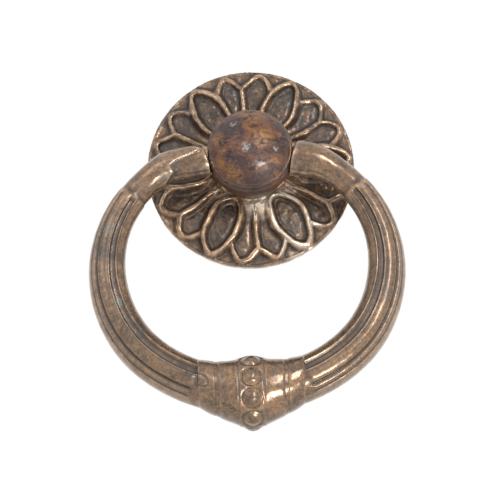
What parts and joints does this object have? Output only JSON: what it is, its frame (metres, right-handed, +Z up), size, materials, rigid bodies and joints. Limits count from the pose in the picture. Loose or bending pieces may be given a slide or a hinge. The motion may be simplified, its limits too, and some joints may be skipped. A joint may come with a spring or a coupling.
{
  "type": "ring pull handle",
  "caption": "Cabinet ring pull: a reeded ring with a beaded foot hangs by pegs from a round ball post on a petalled rosette, and swings up to be pulled.",
  "frame": {"origin": "on the stud's axis, in the plane of the rosette's back", "axes": "+Z up with the ring hanging down, +Y into the panel that the stud goes through, so the front faces -Y, and +X to the right as seen from the front"},
  "size_m": [0.0623, 0.043, 0.078],
  "materials": {
    "aged_brass": "aged, brown, worn pale on the raised edges and dark in the recesses",
    "dark_patina": "dark red-brown patina with a worn rim and a few pale spots"
  },
  "bodies": {
    "base": {"rosette": "aged_brass", "ball_post": "dark_patina"},
    "ring": {"ring": "aged_brass"}
  },
  "joints": [
    {"name": "ring_swing", "type": "hinge", "parent": "base", "child": "ring", "pos_m": [0, -0.0108, 0], "axis": [-1, 0, 0], "range_deg": [-3, 183]}
  ]
}
